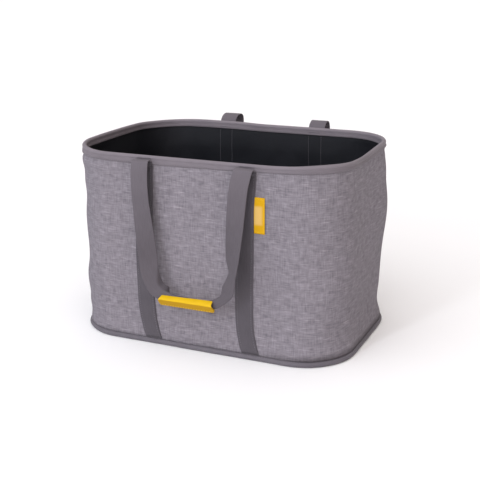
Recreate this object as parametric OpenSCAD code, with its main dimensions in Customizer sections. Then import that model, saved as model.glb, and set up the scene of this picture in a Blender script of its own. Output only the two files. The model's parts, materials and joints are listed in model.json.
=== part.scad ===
// Free-standing fabric basket: a wire-stiffened rim, soft lined walls, a stiffened
// base and two webbing handles that hang outside. The origin is on the floor at the
// middle of the footprint, +X runs along the length and +Z is up. Millimetres.

/* [Rim] */
// Length of the rim over its binding
rim_len = 524; // [440:2:580]
// Depth of the rim over its binding, at the corners
rim_depth = 350; // [300:2:400]
// How far each long side of the rim bows out at its middle
rim_bow = 1.5; // [0:0.5:12]
// Radius of the rim's corners
rim_corner_r = 94; // [70:1:120]
// Height of the rim above the floor
rim_z = 356; // [320:1:380]
// Height of the tape that binds the rim
rim_binding_h = 18; // [14:1:24]

/* [Base] */
// Length of the base over its binding
base_len = 537; // [440:2:580]
// Depth of the base over its binding, at the corners
base_depth = 348; // [290:2:400]
// How far each long side of the base bows out at its middle
base_bow = 1; // [0:0.5:10]
// Radius of the base's corners
base_corner_r = 98; // [70:1:120]
// Height of the bound roll around the base
base_binding_h = 10.2; // [9:0.1:14]
// Thickness of the stiff base board
board_t = 3; // [2:0.2:3.2]

/* [Walls] */
// Thickness of the outer fabric
outer_t = 1.2; // [0.8:0.1:1.4]
// Thickness of the stiff interlining
interlining_t = 1.6; // [1:0.1:1.8]
// Thickness of the coated lining
lining_t = 0.8; // [0.4:0.1:1]

/* [Hoops and tapes] */
// Diameter of the rim and base hoop wires
wire_d = 4; // [3:0.2:4.4]
// Thickness of the binding tape
tape_t = 1.2; // [0.8:0.1:1.4]

/* [Handles] */
// Distance of each strap's middle line from the middle of the basket
strap_x = 96.5; // [80:0.5:110]
// Width of the webbing
strap_w = 32; // [25:1:38]
// Thickness of the webbing
strap_t = 1.5; // [1:0.1:2]
// Radius of the front handle's soft fold, where its webbing turns over at the rim
front_fold_r = 6; // [5:0.5:9]
// Height of the middle of the front fold
front_fold_z = 341; // [338:0.5:350]
// Radius of the back handle's fold, a wider arch that stands above the rim
back_fold_r = 16.8; // [10:0.1:20]
// Height of the middle of the back fold
back_fold_z = 350.2; // [345:0.1:355]
// Drop from a fold to the middle of its grip
handle_drop = 239; // [200:1:260]
// Angle at which the front handle leans away from the wall as it hangs
front_hang = 3.6; // [1:0.1:5]
// Angle of the back handle, which leans towards the wall from its wider fold
back_hang = -2.5; // [-4:0.1:5]
// Length of each grip
grip_len = 108; // [90:1:120]
// Height of each grip
grip_h = 20; // [19:0.5:24]
// Thickness of each grip
grip_d = 13; // [11:0.5:16]

/* [Label] */
// Width of the label tab that shows
label_w = 22; // [15:1:30]
// Height of the label tab
label_h = 66; // [40:1:90]
// Height of the label tab's lower edge above the floor
label_z = 232; // [120:1:240]

/* [Hidden] */
// Clearance between plies, and between parts that move against each other
ply_gap = 0.2;
move_gap = 0.4;
// Clearance of the webbing from the rim tape, which leaves room for its seam
strap_gap = 0.6;
thread_d = 0.4;
thread_gap = 0.05;
seam_inset = 3;

// Steps around a quarter of the outline: short side, corner, long side
short_steps = 2;
corner_steps = 8;
long_steps = 4;
wire_sides = 8;

// How far the wall stands in from the line between rim and base, by height
wall_inset = [[10, 2], [26, 5], [48, 9], [80, 8], [130, 5.5], [200, 2.5], [260, 2.2],
    [300, 3.6], [320, 4.4], [330, 2], [342, 1.6]];
wall_bottom = base_binding_h + move_gap;
wall_top = rim_z - 7.6;
wall_levels = [wall_bottom, 26, 48, 80, 130, 200, 260, 300, 320, 330, wall_top];

// Hoop wires: their distance in from the outline, and their height
bead_r = 4.2;
rim_wire_z = rim_z - bead_r;
base_wire_z = base_binding_h / 2;
ferrule_len = 24;
ferrule_r = 2.85;
ferrule_play = 0.1;

// Base stack
base_fold_w = 9;
panel_t = 1.2;
base_inset = base_fold_w + ply_gap;

tape_bottom = rim_z - rim_binding_h;

// Sewn straps: they step out over the rim tape just below its lower edge
strap_step_z = tape_bottom - 6;
strap_over_z = tape_bottom - 0.5;
front_strap_top = front_fold_z + front_fold_r;
back_strap_top = back_fold_z;
strap_bottom = base_binding_h + 2;
strap_inner_x = strap_x - strap_w / 2;
tack_z = strap_step_z - 10;
tack_h = 1.6;
tack_pitch = 4;

// Folded webbing inside a grip, and the stitches that close the grip
core_w = 15.5;
core_play = 0.4;
core_reach = 6;
grip_slit = 1.2;
leg_steps = 12;
stitch_len = 5;
stitch_pitch = 9;
label_t = 1;
label_x = strap_x + strap_w / 2 + label_w / 2 + move_gap;

// ---- Outline of the basket ----

// Value at height z of a size that runs from the base to the rim
function at_height(base, rim, z) = base + (rim - base) * z / rim_z;
function half_len(z) = at_height(base_len, rim_len, z) / 2;
function half_depth(z) = at_height(base_depth, rim_depth, z) / 2;
function corner_r(z) = at_height(base_corner_r, rim_corner_r, z);
function bow(z) = at_height(base_bow, rim_bow, z);
function inset(z) = lookup(z, wall_inset);

// A quarter of a rounded rectangle, from the middle of its short side
function quarter(a, b, r) = concat(
    [for (i = [0:short_steps - 1]) [a, (b - r) * i / short_steps]],
    [for (i = [0:corner_steps])
        let (t = 90 * i / corner_steps) [a - r + r * cos(t), b - r + r * sin(t)]],
    [for (i = [1:long_steps]) [(a - r) * (1 - i / long_steps), b]]);

// The whole outline, counter-clockwise, with its long sides bowed out
function outline(a, b, r, bulge) =
    let (q = quarter(a, b, r), n = len(q),
        flat = concat(q,
            [for (i = [n - 2:-1:0]) [-q[i].x, q[i].y]],
            [for (i = [1:n - 1]) [-q[i].x, -q[i].y]],
            [for (i = [n - 2:-1:1]) [q[i].x, -q[i].y]]))
    [for (p = flat)
        [p.x, p.y + sign(p.y) * bulge * pow(p.y / b, 2) * (1 - pow(p.x / a, 2))]];

// The outline at height z, moved out by n
function level(n, z) = outline(half_len(z) + n, half_depth(z) + n, corner_r(z) + n, bow(z));
function ring(n, z) = [for (p = level(n, z)) [p.x, p.y, z]];

// Distance of the rim and base line, and of the wall's face, from the middle plane
function line_y(x, z) = half_depth(z) + bow(z) * (1 - pow(x / half_len(z), 2));
function face_y(x, z) = line_y(x, z) - inset(z);

// Solid swept around the basket from a section of [distance out, height] points
module hoop(section) {
    rings = [for (p = section) ring(p[0], p[1])];
    k = len(rings);
    n = len(rings[0]);
    faces = [for (j = [0:k - 1]) for (i = [0:n - 1])
        let (next = (i + 1) % n, up = (j + 1) % k,
            a = j * n + i, b = j * n + next, c = up * n + next, d = up * n + i)
        each [[a, c, b], [a, d, c]]];
    polyhedron([for (r = rings) each r], faces, convexity = 6);
}

module round_hoop(n, z, r) {
    hoop([for (i = [0:wire_sides - 1])
        [n + r * cos(360 * i / wire_sides), z + r * sin(360 * i / wire_sides)]]);
}

// A ply of the wall between two depths from its outer face
module wall_ply(from, to) {
    hoop(concat(
        [for (z = wall_levels) [-inset(z) - from, z]],
        [for (i = [len(wall_levels) - 1:-1:0])
            [-inset(wall_levels[i]) - to, wall_levels[i]]]));
}

// Crimped sleeve on a hoop wire, at the middle of the back
module ferrule(z) {
    translate([0, line_y(0, z) - bead_r, z]) rotate([0, 90, 0]) difference() {
        cylinder(r = ferrule_r, h = ferrule_len, center = true, $fn = 48);
        cylinder(r = wire_d / 2 + ferrule_play, h = ferrule_len + 1, center = true, $fn = 48);
    }
}

// ---- Strips that lie on the back wall; mirrored for the front ----

// Extrudes a profile of [distance from the middle plane, height] along X
module along_x(x, w, profile) {
    translate([x, 0, 0]) rotate([90, 0, 90])
        linear_extrude(height = w, center = true) polygon(profile);
}

// A strip w wide and t thick whose inner face is off outside a line of [distance, height]
module strip(x, w, line, off, t) {
    along_x(x, w, concat(
        [for (p = line) [p[0] + off, p[1]]],
        [for (i = [len(line) - 1:-1:0]) [line[i][0] + off + t, line[i][1]]]));
}

// The wall's face at x, between two heights
function wall_line(x, from, to) =
    [for (z = concat(from, [for (z = wall_levels) if (z > from && z < to) z], to))
        [face_y(x, z), z]];

// The webbing's line: up the wall, then over the rim tape
function strap_line(top) = concat(
    [for (p = wall_line(strap_inner_x, strap_bottom, strap_step_z)) [p[0] + ply_gap, p[1]]],
    [for (z = [strap_over_z, top]) [line_y(strap_inner_x, rim_z) + strap_gap, z]]);

// Distance of the webbing's outer face from the middle plane
function strap_face(z) =
    strap_t + lookup(z, [for (p = strap_line(rim_z)) [p[1], p[0]]]);

module sewn_strap(x, top) {
    strip(x, strap_w, strap_line(top), 0, strap_t);
}

module strap_seams() {
    line = [for (p = strap_line(rim_z)) if (p[1] < tape_bottom) p];
    for (x = [-strap_x, strap_x], side = [-1, 1])
        strip(x + side * (strap_w / 2 - seam_inset), 2 * thread_d, line,
            strap_t + thread_gap, thread_d);
}

// Bars of close stitching that hold the straps just below the rim tape
module tacks() {
    for (x = [-strap_x, strap_x], i = [0:1])
        let (z = tack_z + i * tack_pitch)
        translate([x, strap_face(z) + 2 * thread_d, z])
            cube([strap_w - 4 * seam_inset, 2 * thread_d, tack_h], center = true);
}

module label() {
    strip(label_x, label_w, wall_line(label_x - label_w / 2, label_z, label_z + label_h),
        move_gap, label_t);
}

module label_seams() {
    for (z = [label_z + seam_inset, label_z + label_h - seam_inset])
        strip(label_x, label_w - 2 * seam_inset,
            wall_line(label_x - label_w / 2, z - thread_d, z + thread_d),
            move_gap + label_t + thread_gap, thread_d);
}

// ---- Handles, drawn at the front; mirrored for the back ----

// Distance of a fold's middle from the middle plane
function fold_y(r) = line_y(strap_inner_x, rim_z) + strap_gap + strap_t + move_gap + r;

function reversed(points) = [for (i = [len(points) - 1:-1:0]) points[i]];
function flipped(points) = [for (p = points) [-p.x, p.y]];
function bezier(p, t) = pow(1 - t, 3) * p[0] + 3 * t * pow(1 - t, 2) * p[1]
    + 3 * t * t * (1 - t) * p[2] + pow(t, 3) * p[3];

// Middle line of a leg, from its fold to the end of the grip
leg_ctrl = [[strap_x, 0], [strap_x - 11, -0.34 * handle_drop],
    [strap_x - 15, -0.87 * handle_drop], [grip_len / 2 + core_reach, -handle_drop]];
function leg_mid(t) = bezier(leg_ctrl, t);
function leg_dir(t) = let (d = leg_mid(t + 0.01) - leg_mid(t - 0.01)) d / norm(d);
// The webbing narrows to half its width where it folds into the grip
function leg_w(t) = strap_w + (core_w - strap_w) * pow(t, 3);
function leg_edge(side) = [for (i = [0:leg_steps])
    let (t = i / leg_steps, d = leg_dir(t)) leg_mid(t) + side * leg_w(t) / 2 * [-d.y, d.x]];

// The hanging plane of a handle: X across, Y up, Z out from the wall
module hanging(fold_z, fold_r, angle) {
    translate([0, -fold_y(fold_r), fold_z]) rotate([90 - angle, 0, 0]) children();
}

// Webbing from fold to fold, doubled where the grip holds it. A ring at each fold
// keeps its place around the hinge line at every angle of the handle.
module handle_webbing(fold_z, fold_r, angle) {
    outer = leg_edge(1);
    inner = leg_edge(-1);
    hanging(fold_z, fold_r, angle) {
        translate([0, 0, fold_r - strap_t]) linear_extrude(height = strap_t)
            polygon(concat(outer, reversed(flipped(outer)), flipped(inner), reversed(inner)));
        translate([0, -handle_drop, fold_r]) cube([grip_len, core_w, 2 * strap_t], center = true);
        for (x = [-strap_x, strap_x]) translate([x, 0, 0]) rotate([0, 90, 0]) difference() {
            cylinder(r = fold_r, h = strap_w, center = true, $fn = 64);
            cylinder(r = fold_r - strap_t, h = strap_w + 1, center = true, $fn = 64);
        }
    }
}

// Outline with round ends, h long and d thick
module stadium(h, d) {
    square([h - d, d], center = true);
    for (side = [-1, 1]) translate([side * (h - d) / 2, 0]) circle(d = d, $fn = 48);
}

// Wrapped sleeve around the doubled webbing, open in a slit along its lower edge
module grip(fold_z, fold_r, angle) {
    cavity_h = core_w + 2 * core_play;
    hanging(fold_z, fold_r, angle) translate([0, -handle_drop, fold_r]) rotate([90, 0, 90])
        linear_extrude(height = grip_len - 2, center = true) difference() {
            stadium(grip_h, grip_d);
            square([cavity_h, 2 * (strap_t + core_play)], center = true);
            translate([-grip_h / 2, 0]) square([grip_h - cavity_h, grip_slit], center = true);
        }
}

module grip_stitches(fold_z, fold_r, angle) {
    count = floor((grip_len / 2 - 2 * seam_inset) / stitch_pitch);
    hanging(fold_z, fold_r, angle) for (i = [-count:count])
        translate([i * stitch_pitch, -handle_drop - seam_inset / 2,
            fold_r + grip_d / 2 + thread_d / 2 + thread_gap])
            cube([stitch_len, 2 * thread_d, thread_d], center = true);
}

module other_side() {
    mirror([0, 1, 0]) children();
}

// ---- Rim and walls ----

module rim_wire() {
    color("silver") round_hoop(-bead_r, rim_wire_z, wire_d / 2);
}

module rim_wire_ferrule() {
    color("gray") ferrule(rim_wire_z);
}

// Tape folded over the rim wire, with one leg on each side of the wall
module rim_binding() {
    function arch(r, from, to) = [for (a = [from:sign(to - from) * 30:to])
        [-bead_r + r * cos(a), rim_wire_z + r * sin(a)]];
    color("dimgray") hoop(concat(
        [[0, tape_bottom]], arch(bead_r, 0, 180), [[-2 * bead_r, tape_bottom]],
        [[-2 * bead_r + tape_t, tape_bottom]], arch(bead_r - tape_t, 180, 0),
        [[-tape_t, tape_bottom]]));
}

module rim_binding_stitching() {
    z = tape_bottom + seam_inset;
    color("lightgray") hoop([[thread_gap, z], [thread_gap + thread_d, z],
        [thread_gap + thread_d, z + thread_d], [thread_gap, z + thread_d]]);
}

module outer_wall() {
    color("darkgray") wall_ply(0, outer_t);
}

module wall_interlining() {
    color("white") wall_ply(outer_t + ply_gap, outer_t + ply_gap + interlining_t);
}

module lining_wall() {
    from = outer_t + interlining_t + 2 * ply_gap;
    color("black") wall_ply(from, from + lining_t);
}

// ---- Straps sewn to the walls, and the label ----

module front_left_sewn_strap() {
    color("dimgray") other_side() sewn_strap(-strap_x, front_strap_top);
}

module front_right_sewn_strap() {
    color("dimgray") other_side() sewn_strap(strap_x, front_strap_top);
}

module back_left_sewn_strap() {
    color("dimgray") sewn_strap(-strap_x, back_strap_top);
}

module back_right_sewn_strap() {
    color("dimgray") sewn_strap(strap_x, back_strap_top);
}

module front_strap_stitching() {
    color("gray") other_side() strap_seams();
}

module back_strap_stitching() {
    color("gray") strap_seams();
}

module strap_bar_tacks() {
    color("black") {
        tacks();
        other_side() tacks();
    }
}

module label_tab() {
    color("gold") other_side() label();
}

module label_stitching() {
    color("goldenrod") other_side() label_seams();
}

// ---- Base ----

module base_wire() {
    color("silver") round_hoop(-bead_r, base_wire_z, wire_d / 2);
}

module base_wire_ferrule() {
    color("gray") ferrule(base_wire_z);
}

// Tape folded around the base wire, open towards the base board
module base_binding() {
    h = base_binding_h;
    w = base_fold_w;
    color("dimgray") hoop([[-1, 0], [0, 1], [0, h - 1], [-1, h], [-w, h], [-w, h - tape_t],
        [-tape_t, h - tape_t], [-tape_t, tape_t], [-w, tape_t], [-w, 0]]);
}

module base_binding_stitching() {
    z = base_binding_h + thread_gap;
    color("lightgray") hoop([[-1.6, z], [-1.1, z], [-1.1, z + thread_d / 2], [-1.6, z + thread_d / 2]]);
}

module base_plate(z, t) {
    translate([0, 0, z]) linear_extrude(height = t) polygon(level(-base_inset, 0));
}

module base_outer_panel() {
    color("gray") base_plate(0, panel_t);
}

module base_board() {
    color("tan") base_plate(panel_t + ply_gap, board_t);
}

module base_lining_panel() {
    color("black") base_plate(panel_t + board_t + 2 * ply_gap, lining_t);
}

// ---- Handles ----

module front_handle_webbing() {
    color("dimgray") handle_webbing(front_fold_z, front_fold_r, front_hang);
}

module front_grip() {
    color("gold") grip(front_fold_z, front_fold_r, front_hang);
}

module front_grip_stitching() {
    color("goldenrod") grip_stitches(front_fold_z, front_fold_r, front_hang);
}

module back_handle_webbing() {
    color("dimgray") other_side() handle_webbing(back_fold_z, back_fold_r, back_hang);
}

module back_grip() {
    color("gold") other_side() grip(back_fold_z, back_fold_r, back_hang);
}

module back_grip_stitching() {
    color("goldenrod") other_side() grip_stitches(back_fold_z, back_fold_r, back_hang);
}

rim_wire();
rim_wire_ferrule();
rim_binding();
rim_binding_stitching();
outer_wall();
wall_interlining();
lining_wall();
front_left_sewn_strap();
front_right_sewn_strap();
back_left_sewn_strap();
back_right_sewn_strap();
front_strap_stitching();
back_strap_stitching();
strap_bar_tacks();
label_tab();
label_stitching();
base_wire();
base_wire_ferrule();
base_binding();
base_binding_stitching();
base_board();
base_outer_panel();
base_lining_panel();
front_handle_webbing();
front_grip();
front_grip_stitching();
back_handle_webbing();
back_grip();
back_grip_stitching();
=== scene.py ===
"""Looks of a collapsible fabric basket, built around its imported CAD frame. Metres."""
import json
import math

import bpy
import numpy as np
from mathutils import Matrix, Vector


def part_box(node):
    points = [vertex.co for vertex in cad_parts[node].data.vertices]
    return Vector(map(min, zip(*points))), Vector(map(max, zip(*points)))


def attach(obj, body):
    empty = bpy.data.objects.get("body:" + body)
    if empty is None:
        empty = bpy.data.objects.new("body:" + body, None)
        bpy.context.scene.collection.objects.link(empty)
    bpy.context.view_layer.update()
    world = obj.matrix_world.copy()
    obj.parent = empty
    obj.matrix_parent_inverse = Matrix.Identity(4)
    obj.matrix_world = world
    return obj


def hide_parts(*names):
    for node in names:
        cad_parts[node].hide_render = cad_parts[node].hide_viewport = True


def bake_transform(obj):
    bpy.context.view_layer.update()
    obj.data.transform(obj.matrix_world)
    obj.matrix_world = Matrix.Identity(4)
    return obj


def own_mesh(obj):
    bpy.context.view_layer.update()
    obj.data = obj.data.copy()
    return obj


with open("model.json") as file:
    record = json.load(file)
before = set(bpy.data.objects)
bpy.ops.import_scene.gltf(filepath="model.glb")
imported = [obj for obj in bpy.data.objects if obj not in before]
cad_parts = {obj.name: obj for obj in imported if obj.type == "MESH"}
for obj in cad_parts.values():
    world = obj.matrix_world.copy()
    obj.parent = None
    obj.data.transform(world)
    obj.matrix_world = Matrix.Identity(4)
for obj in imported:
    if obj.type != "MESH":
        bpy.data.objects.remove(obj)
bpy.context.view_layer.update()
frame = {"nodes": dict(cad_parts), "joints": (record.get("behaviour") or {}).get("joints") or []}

MM = 0.001

# ---- Sizes taken from the frame ----


def extent(node):
    low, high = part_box(node)
    return np.array(low), np.array(high)


def joint(name):
    return next(j for j in frame["joints"] if j["name"] == name)


RIM_LOW, RIM_HIGH = extent("rim_binding")
BASE_HIGH = extent("base_binding")[1]
RIM_BOW, BASE_BOW = 1.5 * MM, 1 * MM
RIM_CORNER, BASE_CORNER = 94 * MM, 98 * MM
RIM_Z = RIM_HIGH[2]
TAPE_BOTTOM = RIM_LOW[2]
BASE_TOP = BASE_HIGH[2]
BEAD_R = 4.2 * MM
TAPE_T = 1.2 * MM
STRAP_W, STRAP_T = 32 * MM, 1.5 * MM
SHORT_STEPS, CORNER_STEPS, LONG_STEPS = 12, 18, 26
FRONT, BACK = -1, 1
WORD = {FRONT: "front", BACK: "back"}
HANDS = ("left", "right")


def lengths(points):
    """Distance along a line of points."""
    return np.concatenate([[0], np.cumsum(np.linalg.norm(np.diff(points, axis=0), axis=1))])


def unit(vectors):
    return vectors / np.linalg.norm(vectors, axis=1)[:, None]


def between(base, rim, z):
    return base + (rim - base) * z / RIM_Z


def ring(z):
    """The outline at height z: points, outward directions, from the right side's middle on."""
    a = between(BASE_HIGH[0], RIM_HIGH[0], z)
    b = between(BASE_HIGH[1] - BASE_BOW, RIM_HIGH[1] - RIM_BOW, z)
    r = between(BASE_CORNER, RIM_CORNER, z)
    bow = between(BASE_BOW, RIM_BOW, z)
    turn = np.linspace(0, math.pi / 2, CORNER_STEPS + 1)
    quarter = np.concatenate([
        np.column_stack([np.full(SHORT_STEPS, a), np.linspace(0, b - r, SHORT_STEPS, endpoint=False)]),
        np.column_stack([a - r + r * np.cos(turn), b - r + r * np.sin(turn)]),
        np.column_stack([np.linspace(a - r, 0, LONG_STEPS + 1)[1:], np.full(LONG_STEPS, b)]),
    ])
    half = np.concatenate([quarter, (quarter * [-1, 1])[-2::-1]])
    points = np.concatenate([half, (half * [1, -1])[-2:0:-1]])
    points[:, 1] += np.sign(points[:, 1]) * bow * (points[:, 1] / b) ** 2 * (1 - (points[:, 0] / a) ** 2)
    along = unit(np.roll(points, -1, 0) - np.roll(points, 1, 0))
    return points, np.column_stack([along[:, 1], -along[:, 0]])


def ring_at(z, out):
    """The outline at height z moved out by out, as points in space."""
    points, away = ring(z)
    flat = points + away * np.broadcast_to(out, len(points))[:, None]
    return np.column_stack([flat, np.full(len(flat), z)])


def around(z):
    """Distance along the outline at height z to each of its points, and back to the first."""
    points = ring(z)[0]
    return lengths(np.concatenate([points, points[:1]]))


AROUND = around(RIM_Z)
TURN = AROUND[:-1] / AROUND[-1]
ROUND = 2 * math.pi * TURN


def cad_inset():
    """Heights of the CAD wall's levels and how far each stands in from the outline."""
    co = np.array([v.co for v in frame["nodes"]["outer_wall"].data.vertices])
    heights = np.unique(co[:, 2].round(5))
    reach = np.array([co[abs(co[:, 2] - h) < 1e-4][:, 0].max() for h in heights])
    return heights, between(BASE_HIGH[0], RIM_HIGH[0], heights) - reach


WALL_Z, WALL_IN = cad_inset()
WALL_BOTTOM, WALL_TOP = WALL_Z[0], WALL_Z[-1]
# How far to each side the long walls are looked at, clear of the short walls
LONG_REACH = 230 * MM


def bump(x, middle, width):
    return np.exp(-((x - middle) / width) ** 2)


def smooth(x, low, high):
    t = np.clip((x - low) / (high - low), 0, 1)
    return t * t * (3 - 2 * t)


# Soft swells and hollows of the hanging wall: share of a turn, height, spread round, spread up,
# and how far the middle stands out, with the lengths in mm
SWELLS = np.array([
    (0.0765, 236, 0.055, 56, 9.3), (0.0765, 306, 0.06, 22, 3.8), (0.0765, 40, 0.06, 24, -2.2),
    (0.5765, 260, 0.045, 26, -4), (0.5765, 325, 0.05, 14, 4), (0.5765, 96, 0.05, 36, 7),
    (0.5765, 50, 0.05, 16, 4),
]) * [1, MM, 1, MM, MM]
# A soft crease runs up the wall at the front right corner
CREASE_TURN = 0.9


def wall_out(turn, z):
    """How far the wall's outer face stands out from the outline, at a share of a turn and a height."""
    fine = np.linspace(WALL_BOTTOM, WALL_TOP, 60)
    inset = np.convolve(np.pad(np.interp(fine, WALL_Z, WALL_IN), 3, "edge"), np.ones(7) / 7, "valid")
    free = smooth(z, WALL_BOTTOM, WALL_BOTTOM + 60 * MM) * (
        1 - smooth(z, WALL_TOP - 70 * MM, WALL_TOP - 8 * MM))
    a = 2 * math.pi * turn
    waves = (0.9 * np.sin(3 * a + 0.6 + 9 * z) + 0.7 * np.sin(7 * a + 21 * z + 1.3)
             + 0.5 * np.sin(13 * a - 34 * z + 0.4) + 0.35 * np.sin(23 * a + 60 * z)) * MM
    crease = 1.6 * MM * np.exp(-abs(turn - CREASE_TURN) / 0.012) * (
        smooth(z, 14 * MM, 34 * MM) * (1 - smooth(z, 115 * MM, 200 * MM)))
    sewn = smooth(z, WALL_BOTTOM, WALL_BOTTOM + 25 * MM) * (
        1 - smooth(z, TAPE_BOTTOM - 8 * MM, TAPE_BOTTOM))
    swell = sum(out * bump(turn, at, wide) * bump(z, height, tall) for at, height, wide, tall, out in SWELLS)
    return -np.interp(z, fine, inset) + waves * free + crease + swell * sewn


def long_side_y(x, z, side, out):
    """Where a long side of the outline at height z, moved out by out, passes x: its signed
    distance from the middle plane."""
    line = ring_at(z, out)
    line = line[(line[:, 1] * side > 0) & (abs(line[:, 0]) < LONG_REACH)]
    line = line[np.argsort(line[:, 0])]
    return float(np.interp(x, line[:, 0], line[:, 1]))


def face_y(x, z, side):
    """The wall's outer face on a long side, at x and z."""
    return long_side_y(x, z, side, wall_out(TURN, z))


# The rim's height around the basket, by share of a turn: the wire sags along the front and the near
# right side, and lifts a little at the back left. The tape's lower edge wanders too.
WIRE_RISE = ([0, 0.03, 0.05, 0.08, 0.262, 0.29, 0.345, 0.375, 0.41, 0.44, 0.48,
              0.53, 0.565, 0.6, 0.635, 0.84, 0.862, 0.885, 0.905, 0.949, 0.975],
             [-4.5, -2.5, -1, 0, 0, 1.8, 1.8, 0, -1, 0, 1,
              0.8, -0.5, -2.5, -4.4, -4.6, -3.3, -1.1, -0.8, -3.6, -5.6])
HEM_RISE = ([0.01, 0.05, 0.08, 0.11, 0.15, 0.6, 0.66, 0.7, 0.8, 0.84, 0.87, 0.91, 0.95],
            [0.6, 5, 7.6, 5, 0, 0, -1.5, -2, 0.5, 1.8, 3, 3.6, 0.6])


def settled(table):
    """Values from a table around the basket, softened between its points."""
    rise = np.interp(TURN, *table, period=1) * MM
    for _ in range(4):
        rise = (np.roll(rise, 1) + 2 * rise + np.roll(rise, -1)) / 4
    return rise


RISE, HEM = settled(WIRE_RISE), settled(HEM_RISE)
FRONT_SAG = float(RISE[len(RISE) * 3 // 4])


def rim_lift(out, z):
    """How far a row of the rim tape at a distance out and a height moves up, around the basket."""
    share = np.clip((z - TAPE_BOTTOM) / (RIM_Z - 2 * BEAD_R - 1.5 * MM - TAPE_BOTTOM), 0, 1)
    hem = HEM if out > -BEAD_R else np.zeros(len(HEM))
    return hem + (RISE - hem) * share


# ---- Mesh helpers ----


def placed(name, data):
    """A new object in the scene."""
    made = bpy.data.objects.new(name, data)
    bpy.context.scene.collection.objects.link(made)
    return made


def new_mesh(name, verts, faces, uvs, material):
    """uvs holds one (u, v) for each corner of each face, in metres along the cloth."""
    data = bpy.data.meshes.new(name)
    data.from_pydata([tuple(v) for v in np.asarray(verts, float)], [], [tuple(map(int, f)) for f in faces])
    layer = data.uv_layers.new(name="cloth")
    layer.data.foreach_set("uv", np.asarray(uvs, np.float32).ravel())
    data.polygons.foreach_set("use_smooth", [True] * len(data.polygons))
    data.materials.append(material)
    data.update()
    return placed(name, data)


def swept(name, grid, u, v, material, closed):
    """A closed solid from grid[path, section]: the section is a closed loop, and the path closes
    into a hoop or ends in two caps. u runs along the path and v around the section."""
    m, k = grid.shape[:2]
    faces, uvs = [], []
    for i in range(m if closed else m - 1):
        for j in range(k):
            i2, j2 = (i + 1) % m, (j + 1) % k
            faces.append((i * k + j, i2 * k + j, i2 * k + j2, i * k + j2))
            uvs += [(u[i], v[j]), (u[i + 1], v[j]), (u[i + 1], v[j + 1]), (u[i], v[j + 1])]
    if not closed:
        for i, flip in ((0, False), (m - 1, True)):
            for j in range(k // 2 - 1):
                cap = [i * k + j, i * k + j + 1, i * k + k - 2 - j, i * k + k - 1 - j]
                faces.append(cap[::-1] if flip else cap)
                uvs += [(u[i], v[j])] * 4
    made = new_mesh(name, grid.reshape(-1, 3), faces, uvs, material)
    # Its faces all point outwards where its volume comes out above zero
    corner = grid.reshape(-1, 3)[np.array(faces)]
    if sum((corner[:, 0] * np.cross(corner[:, n], corner[:, n + 1])).sum() for n in (1, 2)) < 0:
        made.data.flip_normals()
    return made


def thick_line(line, t):
    """A closed section around an open line of 2D points: its two sides, joined by round ends."""
    line = np.asarray(line, float)
    along = unit(np.gradient(line, axis=0))
    side = np.column_stack([-along[:, 1], along[:, 0]])
    turn = np.array([1, 2]) * math.pi / 3
    ends = []
    for p, s, d in ((line[-1], side[-1], along[-1]), (line[0], -side[0], -along[0])):
        ends.append([p + t / 2 * (s * math.cos(a) + d * math.sin(a)) for a in turn])
    return np.concatenate([line + side * t / 2, ends[0], (line - side * t / 2)[::-1], ends[1]])


def hoop(name, section, material, out, up):
    """A hoop around the basket from a closed section of [distance out, height] points, which out
    and up shift at each point of the outline."""
    shape = (len(section), len(TURN))
    out, up = np.broadcast_to(out, shape), np.broadcast_to(up, shape)
    grid = np.empty((*shape[::-1], 3))
    for j, (reach, z) in enumerate(section):
        grid[:, j] = ring_at(z, reach + out[j])
        grid[:, j, 2] += up[j]
    v = lengths(np.concatenate([section, section[:1]]))
    return swept(name, grid, AROUND, v, material, True)


def ribbon(name, centre, across, facing, width, t, material, fold=0.0, crease=0.0):
    """Flat webbing along a line of centres. across points to its inner edge and facing to its
    outer face. Where fold grows from 0 to pi, the part beyond the crease turns back behind it."""
    centre, across, facing = (np.asarray(p, float) for p in (centre, across, facing))
    m = len(centre)
    width, fold, crease = (np.broadcast_to(v, m) for v in (width, fold, crease))
    share = np.linspace(-1, 1, 25)
    rows = []
    for i in range(m):
        s = share * width[i] / 2
        line = np.zeros((len(s), 2))
        line[0, 0] = s[0]
        for j in range(1, len(s)):
            bend = fold[i] * smooth((s[j - 1] + s[j]) / 2 - crease[i], 0, 4.5 * MM)
            line[j] = line[j - 1] + (s[j] - s[j - 1]) * np.array([math.cos(bend), -math.sin(bend)])
        section = thick_line(line, t)
        rows.append(centre[i] + section[:, :1] * across[i] + section[:, 1:] * facing[i])
    u = lengths(centre)
    loop = np.concatenate([share, [1.1, 1.1], share[::-1], [-1.1, -1.1, share[0]]]) * STRAP_W / 2
    return swept(name, np.array(rows), u, loop[:len(rows[0]) + 1], material, False)


# Width of a stitch and its rise out of the cloth, at stations along it, as shares of its thickness
STITCH_SWELL = [0.15, 0.8, 1, 0.8, 0.15]
STITCH_LIFT = [-0.5, 0.2, 0.45, 0.2, -0.5]


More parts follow.
